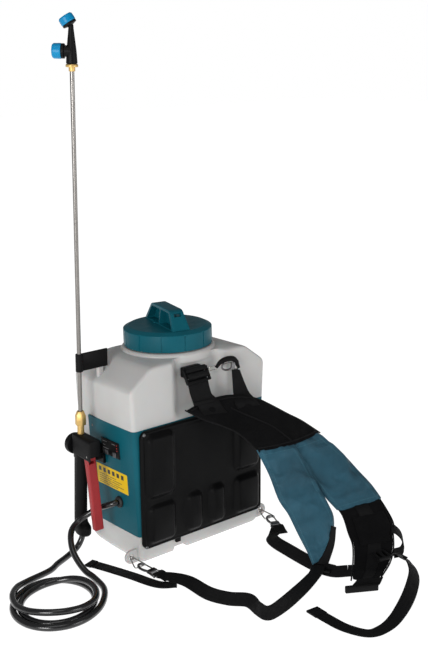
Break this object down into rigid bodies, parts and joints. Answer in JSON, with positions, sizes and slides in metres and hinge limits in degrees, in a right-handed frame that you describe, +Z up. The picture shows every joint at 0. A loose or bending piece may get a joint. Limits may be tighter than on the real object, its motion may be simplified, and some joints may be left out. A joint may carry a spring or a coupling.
{
  "type": "backpack sprayer",
  "caption": "Cordless backpack sprayer: a translucent tank with a screw cap over a pump and battery housing, with a padded harness, a coiled hose and a trigger gun with a long lance.",
  "frame": {"origin": "on the floor under the axis of the filler cap, on the flat underside of the tank's right foot", "axes": "+Z up; +X along the tank's width, to the wearer's right as they face away from the tank's rear; -Y towards the wearer's back"},
  "size_m": [0.6836, 0.6965, 1.0244],
  "materials": {
    "tank_plastic": "translucent natural polyethylene",
    "teal_plastic": "satin moulded plastic",
    "black_plastic": "satin moulded plastic",
    "grip_plastic": "fine-textured moulded plastic",
    "red_plastic": "smooth moulded plastic",
    "blue_plastic": "smooth moulded plastic",
    "grey_plastic": "moulded plastic",
    "rubber": "soft rubber",
    "hose_rubber": "smooth glossy hose",
    "pad_foam": "moulded soft foam skin",
    "pad_fabric": "woven mesh over foam",
    "cover_fabric": "woven cover cloth",
    "webbing": "woven webbing",
    "brass": "turned brass",
    "steel": "drawn stainless steel",
    "dark_steel": "blackened steel",
    "circuit_board": "circuit board laminate"
  },
  "bodies": {
    "root": {"anchor_ring": "steel", "back_pad": "pad_foam", "battery_pack": "black_plastic", "battery_terminal": "grey_plastic", "control_panel": "black_plastic", "controller_board": "circuit_board", "gun_hanger": "black_plastic", "harness_yoke": "pad_fabric", "hose_coil": "hose_rubber", "hose_from_gun": "hose_rubber", "hose_from_pump": "hose_rubber", "hose_grommet": "rubber", "lance_clip": "black_plastic", "left_free_tail": "webbing", "left_lug_ring": "steel", "left_pad_cover": "cover_fabric", "left_shoulder_pad": "pad_fabric", "left_slider": "black_plastic", "left_snap_hook": "dark_steel", "lower_left_web": "webbing", "lower_right_web": "webbing", "outlet_tube": "grey_plastic", "pump_head": "black_plastic", "pump_housing": "teal_plastic", "pump_motor": "steel", "pump_tray": "grey_plastic", "right_free_tail": "webbing", "right_ladder_lock": "black_plastic", "right_lug_ring": "steel", "right_pad_cover": "cover_fabric", "right_shoulder_pad": "pad_fabric", "right_snap_hook": "dark_steel", "strainer_basket": "black_plastic", "strap_anchor": "black_plastic", "suction_tube": "grey_plastic", "tank": "tank_plastic", "upper_adjuster": "black_plastic", "upper_left_web": "webbing", "upper_right_web": "webbing", "upper_snap_hook": "dark_steel"},
    "cap_seal": {"cap_gasket": "rubber"},
    "cap": {"tank_cap": "teal_plastic"},
    "wand": {"gun_body": "grip_plastic", "trigger_pin": "steel", "valve_cap": "black_plastic", "lance_collar": "brass", "lance_tube": "steel", "tip_fitting": "brass"},
    "trigger": {"trigger_lever": "red_plastic"},
    "lance_nut": {"lance_nut": "brass"},
    "nozzle": {"nozzle_body": "black_plastic"},
    "nozzle_side_cap": {"nozzle_cap_side": "blue_plastic"},
    "nozzle_top_cap": {"nozzle_cap_top": "blue_plastic"},
    "battery_door": {"battery_door": "teal_plastic"},
    "door_latch": {"door_latch": "black_plastic"},
    "power_button": {"power_button": "grey_plastic"},
    "pressure_button": {"pressure_button": "grey_plastic"},
    "upper_gate": {"upper_snap_hook_gate": "steel"},
    "left_gate": {"left_snap_hook_gate": "steel"},
    "right_gate": {"right_snap_hook_gate": "steel"}
  },
  "joints": [
    {"name": "cap_lift", "type": "slide", "parent": "root", "child": "cap_seal", "axis": [0, 0, 1], "range_m": [0, 0.0131]},
    {"name": "cap_spin", "type": "hinge", "parent": "cap_seal", "child": "cap", "pos_m": [0, 0, 0.4145], "axis": [0, 0, 1], "range_deg": [0, 720]},
    {"name": "wand_lift", "type": "slide", "parent": "root", "child": "wand", "axis": [0, -0.057, 0.9984], "range_m": [0, 0.012]},
    {"name": "trigger_pull", "type": "hinge", "parent": "wand", "child": "trigger", "pos_m": [-0.2025, -0.01636, 0.21359], "axis": [1, 0, 0], "range_deg": [0, 4.8], "stiffness_Nm_per_rad": 1.5, "springref_deg": -20.05},
    {"name": "lance_nut_spin", "type": "hinge", "parent": "wand", "child": "lance_nut", "pos_m": [-0.2025, 0.01594, 0.27954], "axis": [0, -0.057, 0.9984], "continuous": true},
    {"name": "nozzle_swivel", "type": "hinge", "parent": "wand", "child": "nozzle", "pos_m": [-0.2025, -0.02292, 0.95944], "axis": [0, -0.057, 0.9984], "continuous": true},
    {"name": "nozzle_side_cap_spin", "type": "hinge", "parent": "nozzle", "child": "nozzle_side_cap", "pos_m": [-0.21509, -0.01078, 0.96013], "axis": [-0.7193, 0.6935, 0.0396], "continuous": true},
    {"name": "nozzle_top_cap_spin", "type": "hinge", "parent": "nozzle", "child": "nozzle_top_cap", "pos_m": [-0.20503, -0.02319, 1.00711], "axis": [-0.3918, 0.3299, 0.8589], "continuous": true},
    {"name": "battery_door_hinge", "type": "hinge", "parent": "root", "child": "battery_door", "pos_m": [0.15419, 0, 0.09034], "axis": [0, 1, 0], "range_deg": [0, 100]},
    {"name": "door_latch_slide", "type": "slide", "parent": "battery_door", "child": "door_latch", "axis": [-0.042, 0, -0.9991], "range_m": [0, 0.006], "stiffness_N_per_m": 150, "springref_m": -0.004},
    {"name": "power_button_press", "type": "slide", "parent": "root", "child": "power_button", "axis": [0.9991, 0, 0.042], "range_m": [0, 0.0015], "stiffness_N_per_m": 400, "springref_m": -0.001},
    {"name": "pressure_button_press", "type": "slide", "parent": "root", "child": "pressure_button", "axis": [0.9991, 0, 0.042], "range_m": [0, 0.0015], "stiffness_N_per_m": 400, "springref_m": -0.001},
    {"name": "upper_gate_hinge", "type": "hinge", "parent": "root", "child": "upper_gate", "pos_m": [0.06486, -0.114, 0.36291], "axis": [0, -1, 0], "range_deg": [0, 25], "stiffness_Nm_per_rad": 0.02, "springref_deg": -11.46},
    {"name": "left_gate_hinge", "type": "hinge", "parent": "root", "child": "left_gate", "pos_m": [-0.15845, -0.13572, 0.00982], "axis": [0.0059, -0.0593, 0.9982], "range_deg": [0, 25], "stiffness_Nm_per_rad": 0.02, "springref_deg": -11.46},
    {"name": "right_gate_hinge", "type": "hinge", "parent": "root", "child": "right_gate", "pos_m": [0.15893, -0.1392, 0.00984], "axis": [-0.0224, -0.0498, 0.9985], "range_deg": [0, 25], "stiffness_Nm_per_rad": 0.02, "springref_deg": -11.46}
  ],
  "couplings": [
    {"joint": "cap_lift", "follows": "cap_spin", "m_per_rad": 0.0010345}
  ]
}
